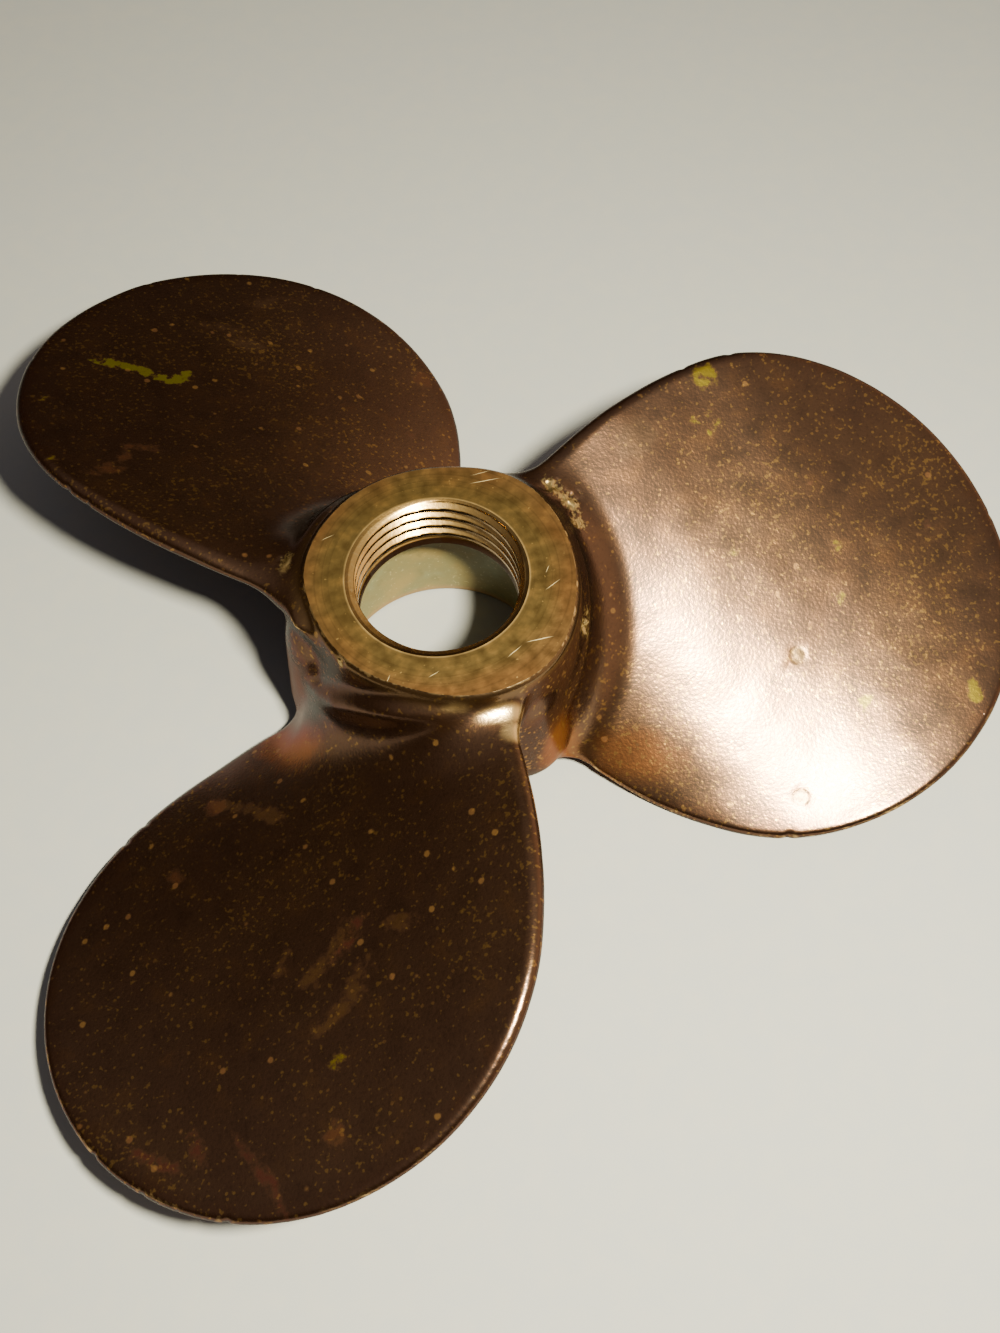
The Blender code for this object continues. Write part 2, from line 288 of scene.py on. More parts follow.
class HubSizes(bpy.types.PropertyGroup):
    """Sizes of the hub, its bore and the webs on its side"""

    length: length("Length", "Height of the hub between its faces", CAD_BOX[1].z)
    top_radius: length("Top radius", "Radius of the hub at its threaded face", 19.6 * MM)
    base_radius: length("Base radius", "Radius of the hub at its rear face", 22.1 * MM)
    edge_round: length("Edge round", "Rounding of both rims before they are faced", 1.7 * MM)
    flat_depth: length("Flat depth", "Depth of the flat between each two blades", 0.8 * MM)
    thread_radius: length("Thread radius", "Major radius of the thread, for a 1 inch shaft", 12.7 * MM)
    thread_pitch: length("Thread pitch", "Climb of one turn, a twelfth of an inch", 25.4 / 12 * MM)
    thread_depth: length("Thread depth", "Height of the thread between its root and its crest", 0.9 * MM)
    thread_turns: IntProperty(name="Thread turns", description="Turns of the thread", default=4, min=1)
    bore_land: length("Bore land", "Height of the plain bore between the thread and the recess", 1.5 * MM)
    mouth_chamfer: length("Mouth chamfer", "Width of the chamfer at the mouth of the bore", 0.4 * MM)
    recess_radius: length("Recess radius", "Radius of the wider recess below the thread", 17.0 * MM)
    web_radius: length("Web radius", "Roundness of the webs between the blade roots", 8.0 * MM)
    web_stand: length("Web height", "How far the webs stand out of the hub's side", 2.7 * MM)


class BladeSizes(bpy.types.PropertyGroup):
    """Sizes of the blades"""

    disc_radius: length("Disc radius", "Radius of the round outline of each blade", 34.8 * MM)
    disc_reach: length("Disc reach", "Distance from the shaft to the middle of the round outline", 53.9 * MM)
    disc_shift: length("Disc shift", "How far the round outline lies towards the leading edge", 1.5 * MM)
    leading_flank: angle("Leading flank", "How fast the leading edge runs in", 22)
    trailing_flank: angle("Trailing flank", "How fast the trailing edge runs in", 15)
    neck: length("Neck", "How far each edge bends in towards the hub", 5.5 * MM)
    height: length("Height", "Height of the blades' middle line above the hub's rear face", 14.4 * MM)
    cup: length("Cup", "Upward curl of the edges", 2.0 * MM)
    root_thickness: length("Root thickness", "Thickness in the middle of the root", 7.0 * MM)
    tip_thickness: length("Tip thickness", "Thickness in the middle near the tip", 2.4 * MM)
    leading_edge: length("Leading edge", "Thickness of the leading edge at its root", 1.7 * MM)
    trailing_edge: length("Trailing edge", "Thickness of the trailing edge at its root", 3.2 * MM)
    tip_edge: length("Tip edge", "Thickness of the edge at the tip", 1.6 * MM)
    face_fillet: length("Face fillet", "Fillet between the blade's faces and the hub", 9.0 * MM)
    edge_fillet: length("Edge fillet", "Fillet between the blade's edges and the hub", 7.5 * MM)


class FinishColours(bpy.types.PropertyGroup):
    """Colours of the bronze and its patina"""

    patina: colour("Patina", "Colour of the thick dark patina", "#513728")
    thin_patina: colour("Thin patina", "Colour where the patina is thinner", "#634730")
    rim_tint: colour("Rim tint", "Reddish tint along the blades' rims", "#3f2010")
    specks: colour("Specks", "Colour of the fine golden specks", "#94713a")
    # Painted shade that darkens the casting's sides and underside, which face away from the light
    painted_side_shade: colour("Grime", "Colour that darkens the casting's sides and underside", "#2c170c")
    # Painted warm reflection, laid as russet patches on the hub's side and at the roots
    warm_reflection: colour("Russet", "Colour of the thin glaze in the low places at the roots", "#8b5527")
    rubbed_bronze: colour("Rubbed bronze", "Colour where ridges are rubbed to bare metal", "#dcbb83")
    faced_inner: colour("Inner ring", "Olive tarnish round the bore on the faced ends", "#504426")
    faced_outer: colour("Outer ring", "Golden brown tarnish on the rest of the faced ends", "#5e462a")
    thread: colour("Thread", "Clean bronze of the thread's flanks", "#d6b172")
    recess: colour("Recess", "Verdigris film in the recess below the thread", "#6c6745")


class StageSettings(bpy.types.PropertyGroup):
    """Camera, floor and lights"""

    eye: spot("Camera", "Place of the camera", (-7.26 * MM, -108.22 * MM, 207.26 * MM))
    target: spot("Aim", "Point on the floor that the camera aims at", (8.94 * MM, 0.79 * MM, 0.0))
    roll: angle("Roll", "Turn of the camera about its view", -0.84)
    lens: FloatProperty(name="Lens", description="Focal length in millimetres", default=39.29, unit="CAMERA")
    key_place: spot("Key place", "Place of the soft key light", (0.060, -0.116, 0.255))
    key_size: length("Key size", "Width of the soft key light's disc", 0.03)
    key_colour: colour("Key colour", "Colour of the soft key light", "#fcf1c8")
    key_power: FloatProperty(name="Key light", description="Power of the lamp", default=5.3, unit="POWER")
    room_strength: FloatProperty(name="Room light", description="Light from all round", default=1.4)
    floor_colour: colour("Floor", "Colour of the pale floor", "#868a92")


def share(value, start, end):
    """How far value lies from start to end, held between 0 and 1."""
    return np.clip((value - start) / (end - start), 0.0, 1.0)


def eased_to_full(value, start, end, bend):
    """As share, but it bends over gently on its way to 1, so that no crease shows there."""
    rising = np.maximum((value - start) / (end - start), 0.0)
    mix = np.clip(0.5 + (1.0 - rising) / (2 * bend), 0.0, 1.0)
    return rising * mix + (1.0 - mix) - bend * mix * (1.0 - mix)


def fillet(distance, radius):
    """How high a round fillet of this radius stands at a distance from the wall that it runs up."""
    rest = radius - np.clip(distance, 0.0, radius)
    return radius - np.sqrt(radius**2 - rest**2)


def cone_radius(hub, height):
    return hub.base_radius + (hub.top_radius - hub.base_radius) * height / hub.length


def rim_radius(hub, direction):
    """The outline of the hub's faced top, rounded between its measured directions."""
    angles, stands = np.array(RIM_OUTLINE, float).T
    turn = np.degrees(direction)[..., None] + np.linspace(-RIM_SOFTNESS, RIM_SOFTNESS, RIM_SAMPLES)
    return hub.top_radius + np.interp(turn, angles, stands, period=360).mean(-1) * MM


def off_nearest(direction, first):
    """The turn from the nearest of three even directions, of which first is one."""
    spacing = math.tau / BLADE_COUNT
    return (direction - first + spacing / 2) % spacing - spacing / 2


def hub_radius(hub, direction, height):
    """The hub's outside: flats between the blades at its rear, and the outline of its rim at its top."""
    direction = np.asarray(direction, float)
    off_flat = off_nearest(direction, FLAT_DIRECTION)
    rear = np.minimum(hub.base_radius, (hub.base_radius - hub.flat_depth) / np.cos(off_flat))
    return rear + (rim_radius(hub, direction) - rear) * height / hub.length


def face_height(hub, blade, reach, offset):
    """Height of the blade's middle surface: a helicoid whose pitch grows outwards, slightly cupped."""
    turn = np.arctan2(offset, reach) / math.tau
    outward = eased_to_full(np.hypot(reach, offset), hub.base_radius, FULL_PITCH_RADIUS, PITCH_BEND)
    pitch = ROOT_PITCH + (OUTER_PITCH - ROOT_PITCH) * outward
    return blade.height + pitch * turn + blade.cup * (offset / blade.disc_radius) ** 2


def clear_of_hub(hub, blade, reach, offset):
    """How far outside the fillets' feet the blade's middle surface is, seen along the shaft."""
    direction = np.arctan2(offset, reach)
    wall = hub_radius(hub, direction, face_height(hub, blade, reach, offset))
    return np.hypot(reach, offset) - wall + FILLET_SINK


def bare_edge(hub, blade, reach, side):
    """Offset of the leading (side -1) or trailing (side +1) edge before it is filleted."""
    flank = blade.trailing_flank if side > 0 else blade.leading_flank
    touch = blade.disc_reach - blade.disc_radius * math.sin(flank)
    disc = np.sqrt(np.maximum(blade.disc_radius**2 - (reach - blade.disc_reach) ** 2, 0.0))
    bend = ((touch - reach) / (touch - hub.top_radius)) ** 2
    straight = blade.disc_radius * math.cos(flank) - (touch - reach) * math.tan(flank) - blade.neck * bend
    return side * np.where(reach > touch, disc, straight) - blade.disc_shift


def edge_points(hub, blade, reach, side):
    """Plan places of an edge, with its fillet round the hub."""
    offset = bare_edge(hub, blade, reach, side)
    radius = np.hypot(reach, offset)
    along_hub = fillet(clear_of_hub(hub, blade, reach, offset), blade.edge_fillet)
    turn = np.arctan2(offset, reach) + side * along_hub / radius
    return np.stack([radius * np.cos(turn), radius * np.sin(turn)], -1)


def middle(hub, blade, reach, offset):
    return np.stack([reach, offset, face_height(hub, blade, reach, offset)], -1)


def face_normal(hub, blade, reach, offset):
    step = 0.5 * MM
    along = middle(hub, blade, reach + step, offset) - middle(hub, blade, reach - step, offset)
    across = middle(hub, blade, reach, offset + step) - middle(hub, blade, reach, offset - step)
    normal = np.cross(along, across)
    return normal / np.linalg.norm(normal, axis=-1, keepdims=True)


def half_thickness(hub, blade, reach, offset, across, width):
    """Half the blade's thickness. across runs from -1 at the leading to +1 at the trailing edge."""
    outward = share(reach, hub.top_radius, blade.disc_reach + blade.disc_radius)
    core = blade.root_thickness + (blade.tip_thickness - blade.root_thickness) * outward
    root_edge = np.where(across > 0, blade.trailing_edge, blade.leading_edge)
    edge = root_edge + (blade.tip_edge - root_edge) * outward
    full = edge + (core - edge) * (1 - across**2)
    from_disc = blade.disc_radius - np.hypot(reach - blade.disc_reach, offset + blade.disc_shift)
    from_side = (1 - np.abs(across)) * width / 2
    inside = np.maximum(np.where(reach < blade.disc_reach, from_side, from_disc), 0.0)
    flare = fillet(clear_of_hub(hub, blade, reach, offset), blade.face_fillet) * (1 - EDGE_FADE * across**4)
    rounding = np.sqrt(1 - (1 - share(inside, 0.0, edge / 2 + flare)) ** 2)
    return rounding * (full / 2 + flare)


def between_hub_faces(hub, points):
    """The points, squeezed smoothly between the hub's faces where a blade's root runs into the hub."""
    middle_height, reach = hub.length / 2, hub.length / 2 - ROOT_STEP
    level = (points[..., 2] - middle_height) / reach
    squeezed = middle_height + reach * level / (1 + np.abs(level) ** SQUEEZE) ** (1 / SQUEEZE)
    outward = share(np.hypot(points[..., 0], points[..., 1]), hub.base_radius, hub.base_radius + ROOT_BLEND)
    eased = outward**2 * (3 - 2 * outward)
    points[..., 2] = squeezed + (points[..., 2] - squeezed) * eased
    return points


def blade_rings(hub, blade, fettling):
    """Closed loops round a blade along +X, from inside the hub to just short of its tip."""
    tip_reach = blade.disc_reach + blade.disc_radius
    outward = (1 - np.cos(np.pi * np.arange(BLADE_STATIONS) / BLADE_STATIONS)) / 2
    reach = ROOT_STATION + (tip_reach - ROOT_STATION) * outward
    leading, trailing = (edge_points(hub, blade, reach, side)[:, None] for side in (-1, 1))
    near_root = share(reach, FETTLED_TO, hub.top_radius)[:, None] ** 2 * MM
    leading[..., 1] -= fettling[0] * near_root
    trailing[..., 1] += fettling[1] * near_root
    width = np.linalg.norm(trailing - leading, axis=-1)
    angle = np.pi * np.arange(2 * CHORD_STEPS) / CHORD_STEPS
    across = -np.cos(angle)[None, :]
    upper = np.where(angle <= np.pi, 1.0, -1.0)[None, :, None]
    plan = leading + (trailing - leading) * (1 + across[..., None]) / 2
    out, offset = plan[..., 0], plan[..., 1]
    stand_off = half_thickness(hub, blade, out, offset, across, width)[..., None]
    points = middle(hub, blade, out, offset) + upper * stand_off * face_normal(hub, blade, out, offset)
    return between_hub_faces(hub, points)


def all_round(steps):
    """Even directions round the shaft."""
    return math.tau * np.arange(steps) / steps


def level_ring(radius, height, steps):
    """Points round the shaft at one height. radius is one number, or one for each direction."""
    direction = all_round(steps)
    return np.stack([radius * np.cos(direction), radius * np.sin(direction), np.full(steps, height)], -1)


def hub_rings(hub):
    """The boss before it is faced and bored, a little too long and with both rims rounded."""
    direction = all_round(HUB_STEPS)
    turn = np.linspace(np.pi / 2, 0, RIM_STEPS + 1)
    rise, inset = hub.edge_round * (1 - np.sin(turn)), hub.edge_round * (1 - np.cos(turn))
    side = hub.length * np.arange(2, HUB_LEVELS - 1) / HUB_LEVELS
    heights = np.concatenate([rise - FACING_ALLOWANCE, side, hub.length + FACING_ALLOWANCE - rise[::-1]])
    insets = np.concatenate([inset, np.zeros(len(side)), inset[::-1]])
    return np.array([
        level_ring(hub_radius(hub, direction, height) - inset, height, HUB_STEPS)
        for height, inset in zip(heights, insets)
    ])


def edge_root(hub, blade, side):
    """Direction from the shaft, and height, of the place where a bare edge meets the hub."""
    reach = np.linspace(ROOT_STATION, blade.disc_reach, EDGE_SEARCH_STEPS)
    offset = bare_edge(hub, blade, reach, side)
    meets = np.argmax(clear_of_hub(hub, blade, reach, offset) > 0)
    place = reach[meets], offset[meets]
    return math.atan2(place[1], place[0]), float(face_height(hub, blade, *place))


def web_rings(hub, blade):
    """The web that runs down the hub's side, from a trailing root to the next blade's leading root."""
    top_direction, top_height = edge_root(hub, blade, 1)
    foot_direction, foot_height = edge_root(hub, blade, -1)
    top_direction += blade.edge_fillet / 2 / hub.top_radius
    foot_direction += math.tau / BLADE_COUNT - blade.edge_fillet / 2 / hub.base_radius
    rings = []
    for rise in np.linspace(0, 1, WEB_RINGS + 1):
        height = foot_height + (top_height - foot_height) * rise
        direction = foot_direction + (top_direction - foot_direction) * rise
        dive = share(rise, 1 - WEB_TOP_SHARE, 1) ** 2 + share(rise, WEB_FOOT_SHARE, 0) ** 2
        axis = cone_radius(hub, height) + hub.web_stand - WEB_DIVE * dive - hub.web_radius
        ring = level_ring(hub.web_radius, height, WEB_STEPS)
        rings.append(ring + [axis * math.cos(direction), axis * math.sin(direction), 0.0])
    return between_hub_faces(hub, np.array(rings))


def thread_end(hub):
    return hub.length - hub.thread_turns * hub.thread_pitch


def thread_rings(hub):
    """All that is machined off the hub: both faces, the recess and land, and the thread with its mouth."""
    direction = all_round(BORE_STEPS)
    land = thread_end(hub) - hub.bore_land
    crest = hub.thread_radius - hub.thread_depth
    profile = ((FACING_RADIUS, -CUT_CLEARANCE), (FACING_RADIUS, 0.0), (hub.recess_radius, 0.0))
    profile += ((hub.recess_radius, land), (crest, land))
    rings = [level_ring(radius, height, BORE_STEPS) for radius, height in profile]
    for turns_down in np.linspace(hub.thread_turns, 0, hub.thread_turns * RINGS_PER_THREAD_TURN + 1):
        phase = (-turns_down - (direction - THREAD_DIRECTION) / math.tau) % 1.0
        groove = share(np.abs(2 * phase - 1), *THREAD_FLANK)
        groove = groove * share(hub.thread_turns - turns_down, 0, THREAD_FADE)
        depth = turns_down * hub.thread_pitch
        mouth = hub.thread_radius + hub.mouth_chamfer - MOUTH_STEEPNESS * depth
        radius = np.maximum(crest + hub.thread_depth * groove, mouth)
        rings.append(level_ring(radius, hub.length - depth, BORE_STEPS))
    for height in (hub.length, hub.length + CUT_CLEARANCE):
        rings.append(level_ring(FACING_RADIUS, height, BORE_STEPS))
    return np.array(rings)


def skin(rings, tip=None):
    """Points and faces of a closed skin over rings, with a flat cap or one tip point at its end."""
    count, steps = rings.shape[:2]
    grid = np.arange(count * steps).reshape(count, steps)
    low, high = grid[:-1], grid[1:]
    quads = np.stack([low, np.roll(low, -1, 1), np.roll(high, -1, 1), high], -1).reshape(-1, 4)
    points, faces = rings.reshape(-1, 3), quads.tolist()
    faces.append(grid[0][::-1].tolist())
    if tip is None:
        faces.append(grid[-1].tolist())
        return points, faces
    end = len(points)
    faces += [[int(a), int(b), end] for a, b in zip(grid[-1], np.roll(grid[-1], -1))]
    return np.vstack([points, [tip]]), faces


def turned(points, index):
    """The points of the first blade's shape, turned round the shaft to another blade's place."""
    return points @ np.array(Matrix.Rotation(math.tau * index / BLADE_COUNT, 3, "Z")).T


def in_scene(name, data, place=Matrix()):
    """A new object of the scene."""
    obj = bpy.data.objects.new(name, data)
    obj.matrix_world = place
    bpy.context.scene.collection.objects.link(obj)
    return obj


def mesh_object(name, shells):
    """One object from several closed skins."""
    points, faces = [], []
    for shell_points, shell_faces in shells:
        start = sum(map(len, points))
        points.append(shell_points)
        faces += [[corner + start for corner in face] for face in shell_faces]
    mesh = bpy.data.meshes.new(name)
    mesh.from_pydata(np.vstack(points).tolist(), [], faces)
    mesh.validate()
    return in_scene(name, mesh)


def apply_modifiers(obj):
    """Replaces the object's mesh by the one that its modifiers make."""
    bpy.context.view_layer.update()
    graph = bpy.context.evaluated_depsgraph_get()
    made = bpy.data.meshes.new_from_object(obj.evaluated_get(graph))
    old, obj.data = obj.data, made
    obj.modifiers.clear()
    bpy.data.meshes.remove(old)
    if not len(made.polygons):
        raise RuntimeError(f"{obj.name} has no faces left after its modifiers")


def cast_blank(hub, blade):
    """Hub, blades and webs as one skin, as they leave the mould."""
    shells = [skin(hub_rings(hub))]
    web = web_rings(hub, blade)
    tip = middle(hub, blade, np.float64(blade.disc_reach + blade.disc_radius), np.float64(-blade.disc_shift))
    for index, fettling in enumerate(ROOT_FETTLING):
        shells.append(skin(turned(blade_rings(hub, blade, fettling), index), turned(tip, index)))
        shells.append(skin(turned(web, index)))
    blank = mesh_object("cast_propeller", shells)
    remesh = blank.modifiers.new("one_skin", "REMESH")
    remesh.mode = "VOXEL"
    remesh.voxel_size = CELL
    apply_modifiers(blank)
    return blank


def read(rows, name, width=1, kind=float):
    """One property of all the points, edges, faces or corners of a mesh, with width numbers for each."""
    values = np.empty(len(rows) * width, kind)
    rows.foreach_get(name, values)
    return values.reshape(-1, width) if width > 1 else values


def put_points(mesh, points):
    mesh.vertices.foreach_set("co", points.ravel())
    mesh.update()


def along_edges(mesh):
    """Both ends of every edge, in each direction, and a way to average such values at the first ends."""
    edges = read(mesh.edges, "vertices", 2, np.int64)
    start, end = np.concatenate([edges, edges[:, ::-1]]).T.copy()
    degree = np.bincount(start, minlength=len(mesh.vertices))

    def mean(values):
        return np.bincount(start, values, minlength=len(degree)) / degree

    return start, end, mean


def relaxed(mesh, points, weight, times):
    """The points, each drawn again and again towards the mean of its neighbours by its weight."""
    _, end, mean = along_edges(mesh)
    for _ in range(times):
        nearby = np.stack([mean(points[end, axis]) for axis in range(3)], -1)
        points = points + weight[:, None] * (nearby - points)
    return points


def lumps_at(points, grains):
    """Smooth noise in several grains, each a height, the distance between its lumps, and a seed."""
    total = 0.0
    for height, size, seed in grains:
        lumps = map(noise.noise, (points / size + seed).tolist())
        total = total + height * np.fromiter(lumps, float, len(points))
    return total


def knock_places(blade):
    """Plan places and radii of the knocks, spread unevenly over the round rims of the blades."""
    chance = random.Random(KNOCK_SEED)
    places = []
    for _ in range(KNOCKS):
        index, turn = chance.randrange(BLADE_COUNT), chance.uniform(-KNOCK_SPREAD, KNOCK_SPREAD)
        size = chance.uniform(*KNOCK_SIZES) * MM
        rim = Vector((blade.disc_reach + blade.disc_radius * math.cos(turn), 0.0, 0.0))
        rim.y = blade.disc_radius * math.sin(turn) - blade.disc_shift
        places.append((Matrix.Rotation(math.tau * index / BLADE_COUNT, 3, "Z") @ rim, size))
    return places


def with_damage(points, normals, blade):
    """The points, with rough chips at the roots, sand pits in a face and knocks along the rims."""
    push = np.zeros(len(points))
    for *place, radius in ROOT_CHIPS:
        away = np.linalg.norm(points - np.array(place) * MM, axis=1) / (radius * MM)
        near = away < 1.0
        rough = CHIP_HEIGHT * lumps_at(points[near], CHIP_GRAINS) - CHIP_SINK
        push[near] += rough * MM * share(away[near], 1.0, 0.45)
    for *place, radius in SAND_PITS:
        # Deepest in a ring round its middle
        away = np.linalg.norm(points - np.array(place) * MM, axis=1) / (radius * MM)
        push -= PIT_DEPTH * share(away, 1.0, 0.8) * (0.45 + 0.55 * share(away, 0.3, 0.7))
    for place, radius in knock_places(blade):
        away = np.hypot(points[:, 0] - place.x, points[:, 1] - place.y) / radius
        push -= KNOCK_DEPTH * radius * share(away, 1.0, 0.2) ** 2
    return points + normals * push[:, None]


def dress_casting(obj, hub, blade):
    """Blends the roots, gives the casting the gentle waviness of a hand-finished surface, and its damage."""
    mesh = obj.data
    points = read(mesh.vertices, "co", 3)
    radius, height = np.hypot(points[:, 0], points[:, 1]), points[:, 2]
    wall = radius - cone_radius(hub, height)
    near_hub = share(wall, 7 * MM, 3 * MM) * share(wall, -3 * MM, -1.5 * MM)
    off_faces = share(height, 0.5 * MM, 2.5 * MM) * share(hub.length - height, 0.6 * MM, 2.0 * MM)
    points = relaxed(mesh, points, ROOT_PULL * near_hub * off_faces, ROOT_ROUNDS)
    points = relaxed(mesh, points, np.full(len(points), SKIN_PULL), SKIN_ROUNDS)
    put_points(mesh, points)
    normals = read(mesh.vertex_normals, "vector", 3)
    # The hub was dressed flatter than the blades
    lumps = lumps_at(points, WAVINESS) * (0.3 + 0.7 * share(wall, 0.0, 6 * MM))
    points = with_damage(points + normals * lumps[:, None], normals, blade)
    low, high = (np.tile(corner, (len(points), 1)) for corner in CAD_BOX)
    faced = radius < FACING_RADIUS
    low[faced, 2], high[faced, 2] = -FACING_ALLOWANCE, hub.length + FACING_ALLOWANCE
    put_points(mesh, np.clip(points, low, high))


def machine_bore(obj, hub):
    """Thins the casting's skin to a workable number of faces, then bores and threads it."""
    triangles = sum(len(face.vertices) - 2 for face in obj.data.polygons)
    decimate = obj.modifiers.new("thin", "DECIMATE")
    decimate.ratio = min(1.0, MOST_TRIANGLES / triangles)
    apply_modifiers(obj)
    cutter = mesh_object("bore_cutter", [skin(thread_rings(hub))])
    bore = obj.modifiers.new("bore", "BOOLEAN")
    bore.operation = "DIFFERENCE"
    bore.solver = "MANIFOLD"
    bore.object = cutter
    apply_modifiers(obj)
    bpy.data.objects.remove(cutter, do_unlink=True)


def bend_of(mesh, points, normals):
    """How sharply the surface bends at each point, in 1/m: above 0 on ridges and below 0 in hollows."""
    start, end, mean = along_edges(mesh)
    step = points[end] - points[start]
    drop = -np.einsum("ij,ij->i", step, normals[start])
    # An edge of hardly any length is taken as one of a thousandth of a millimetre
    bend = mean(drop / np.maximum(np.einsum("ij,ij->i", step, step), (0.001 * MM) ** 2))
    for _ in range(2):
        bend = 0.5 * bend + 0.5 * mean(bend[end])
    return bend


def outside_marks(points, marks, depth):
    """How many millimetres each point lies outside the nearest mark's outline, and below 0 within it."""
    nearest = np.full(len(points), NO_MARK_NEAR)
    for x, y, z, half_length, half_width, heading in marks:
        away = points / MM - (x, y, z)
        turn = math.radians(heading)
        along = away[:, 0] * math.cos(turn) + away[:, 1] * math.sin(turn)
        across = away[:, 1] * math.cos(turn) - away[:, 0] * math.sin(turn)
        spread = (along / half_length) ** 2 + (across / half_width) ** 2 + (away[:, 2] / depth) ** 2
        nearest = np.minimum(nearest, (np.sqrt(spread) - 1) * min(half_length, half_width))
    return nearest


def note_wear_and_painted_light(obj, hub, blade):
    """Notes on every point what its finish depends on: rims, ridges, hollows, upper side and single marks."""
    mesh = obj.data
    points, normals = read(mesh.vertices, "co", 3), read(mesh.vertex_normals, "vector", 3)
    bend = bend_of(mesh, points, normals)
    radius, direction = np.hypot(points[:, 0], points[:, 1]), np.arctan2(points[:, 1], points[:, 0])
    off_blade = off_nearest(direction, 0.0)
    reach, offset = radius * np.cos(off_blade), radius * np.sin(off_blade)
    in_disc = blade.disc_radius - np.hypot(reach - blade.disc_reach, offset + blade.disc_shift)
    flank = np.minimum(bare_edge(hub, blade, reach, 1) - offset, offset - bare_edge(hub, blade, reach, -1))
    inside = np.where(reach > blade.disc_reach, in_disc, flank)
    below_top, outside_rim = hub.length - points[:, 2], radius - rim_radius(hub, direction)
    # The upper side sets where shade is painted on the sides and underside
    notes = {
        "rim": share(inside, *RIM_BAND) * share(reach, *RIM_START),
        "ridge": share(bend, *RIDGE_BEND),
        "hollow": share(-bend, *HOLLOW_BEND),
        "upper": share(normals[:, 2], *LOOKING_UP),
        "shoulder": share(below_top, *SHOULDER_DROP) * share(outside_rim, *SHOULDER_WIDTH),
        # Places of the painted warm reflection
        "warm_reflection": outside_marks(points, WARM_REFLECTION_PATCHES, WARM_REFLECTION_DEPTH),
        "chips": outside_marks(points, CHIP_MARKS, CHIP_DEPTH),
        "rubbed": outside_marks(points, RUBBED_MARKS, CHIP_DEPTH),
    }
    for name, *_, marks in STAINS:
        notes[name] = outside_marks(points, marks, STAIN_DEPTH)
    for name, values in notes.items():
        mesh.attributes.new(name, "FLOAT", "POINT").data.foreach_set("value", values.astype(np.float32))


def wire(made, inputs):
    """Sets or links a node's inputs, given by name, or in their order where no names are given. A node stands
    for its first output in use, and a text for an sRGB hex colour."""
    sockets = {socket.name: socket for socket in reversed(made.inputs) if socket.enabled}
    for name, value in inputs.items() if isinstance(inputs, dict) else enumerate(inputs):
        socket = made.inputs[name] if isinstance(name, int) else sockets[name]
        if isinstance(value, bpy.types.Node):
            value = next(output for output in value.outputs if output.enabled)
        if isinstance(value, bpy.types.NodeSocket):
            made.id_data.links.new(value, socket)
        else:
            socket.default_value = linear(value) if isinstance(value, str) else value


def node(tree, kind, inputs=(), **settings):
    """Adds a shader node with its settings and its inputs."""
    made = tree.nodes.new("ShaderNode" + kind)
    for name, value in settings.items():
        setattr(made, name, value)
    wire(made, inputs)
    return made


def new_finish(name, *grains):
    """An empty material, a way to add nodes to it, its surface shader, places on the object in metres, and a
    noise pattern for each grain, which is its size in millimetres and its detail."""
    material = bpy.data.materials.new(name)
    material.use_nodes = True
    add = partial(node, material.node_tree)
    place = add("TexCoord").outputs["Object"]
    patterns = (
        add("TexNoise", {"Vector": place, "Scale": 1000 / size, "Detail": detail}) for size, detail in grains
    )
    return material, add, material.node_tree.nodes["Principled BSDF"], place, *patterns


def tinted(add, base, layers):
    """A base under layers of tint, each a pattern, its values where the tint starts and is full, how much
    the full tint covers, and its colour."""
    for pattern, start, full, cover, tint in layers:
        amount = add("MapRange", (pattern, start, full, 0.0, cover), interpolation_type="SMOOTHSTEP")
        base = add("Mix", {"Factor": amount, "A": base, "B": tint}, data_type="RGBA")
    return base


def off_shaft(add, place):
    """How far each place lies from the middle of the shaft."""
    flat = add("VectorMath", (place, (1.0, 1.0, 0.0)), operation="MULTIPLY")
    return add("VectorMath", (flat,), operation="LENGTH").outputs["Value"]


def specks(add, place, spacing, size, sparse):
    """Separate specks, as coverage and a random tone. Spacing and size are in millimetres."""
    cells = add("TexVoronoi", {"Vector": place, "Scale": 1000 / spacing})
    chance = add("SeparateColor", (cells.outputs["Color"],))
    reach = size / 2 / spacing
    away = cells.outputs["Distance"]
    dots = add("MapRange", (away, reach, reach * 0.5), interpolation_type="SMOOTHSTEP")
    chosen = add("Math", (chance.outputs["Red"], sparse), operation="GREATER_THAN")
    return add("Math", (dots, chosen), operation="MULTIPLY"), chance.outputs["Green"]


def scratched(add, place, marks, depth):
    """How far each place is from the nearest scratch, as a share of that scratch's own half width."""
    # Each place wanders by up to 0.2 mm along each axis, in the mean by half of it
    wander = add("TexNoise", {"Vector": place, "Scale": 1000 / 1.5})
    mean, reach = 0.1, (0.2 * MM,) * 3
    shifted = add("VectorMath", (wander.outputs["Color"], reach, place), operation="MULTIPLY_ADD")
    nearest = None
    for x, y, z, half_length, half_width, heading in marks:
        own = add("Mapping", {
            "Vector": shifted,
            "Location": ((x + mean) * MM, (y + mean) * MM, z * MM),
            "Rotation": (0.0, 0.0, math.radians(heading)),
            "Scale": (half_length * MM, half_width * MM, depth * MM),
        }, vector_type="TEXTURE")
        away = add("VectorMath", (own,), operation="LENGTH").outputs["Value"]
        nearest = add("Math", (nearest, away), operation="MINIMUM") if nearest else away
    return nearest


